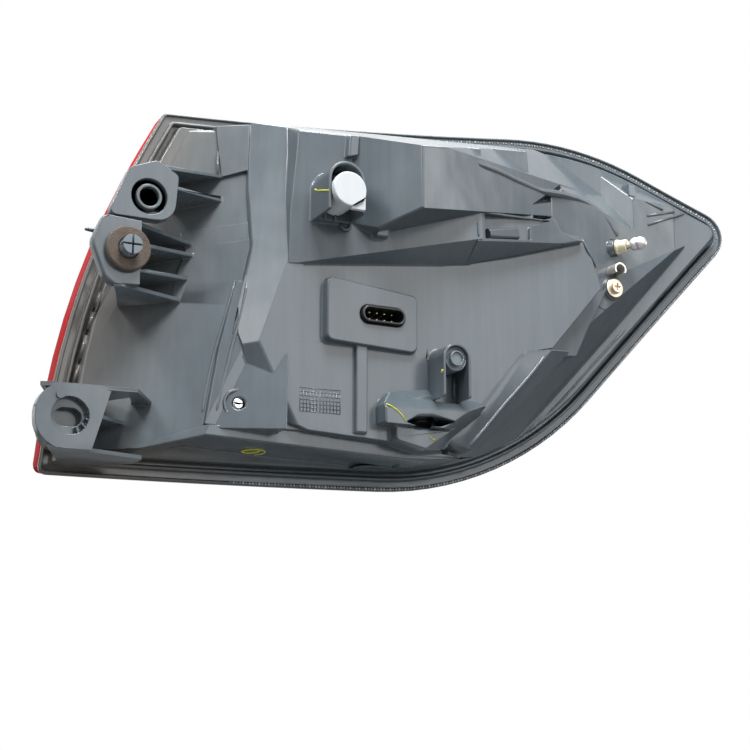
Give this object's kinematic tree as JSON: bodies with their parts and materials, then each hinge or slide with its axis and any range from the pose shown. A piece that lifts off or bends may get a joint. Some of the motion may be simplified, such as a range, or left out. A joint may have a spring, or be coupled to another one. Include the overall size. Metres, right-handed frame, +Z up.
{
  "type": "tail light cluster",
  "caption": "Wrap-round rear lamp cluster seen from its body side: a ribbed grey housing with screw lugs, bulb bays, a plug socket and a locating ball stud, closed by a red lens.",
  "frame": {"origin": "centre of the upper lug's bore, at the face of the lug that meets the car body", "axes": "+X from the cut line towards the tip of the lamp, +Y along the mould draw towards the lens, +Z up"},
  "size_m": [0.4391, 0.1119, 0.2335],
  "materials": {
    "housing_grey": "glossy moulded grey plastic",
    "lens_red": "clear red acrylic",
    "lens_clear": "clear acrylic",
    "bezel_grey": "satin silver-grey moulded plastic",
    "bright": "vacuum-metallised reflector",
    "holder_white": "white nylon",
    "holder_grey": "grey nylon",
    "black_plastic": "black nylon",
    "bulb_amber": "amber bulb glass over a metal cap",
    "bulb_clear": "clear bulb glass over a metal cap",
    "brass_pin": "tinned brass contact",
    "steel": "zinc-plated steel",
    "collar_cream": "cream nylon",
    "foam": "dark foam rubber"
  },
  "bodies": {
    "root": {"housing": "housing_grey", "outer_lens": "lens_red", "clear_window": "lens_clear", "inner_bezel": "bezel_grey", "upper_reflector": "bright", "lower_reflector": "bright", "upper_bulb_holder": "holder_white", "lower_bulb_holder": "holder_grey", "side_bulb_holder": "black_plastic", "upper_bulb": "bulb_amber", "lower_bulb": "bulb_clear", "side_bulb": "bulb_clear", "plug_socket": "black_plastic", "contact_pins": "brass_pin", "ball_stud": "steel", "stud_collar": "collar_cream", "earth_screw": "steel", "wire_clip": "steel", "foam_washer": "foam", "lug_bush": "holder_grey", "aiming_screw": "steel"}
  },
  "joints": []
}
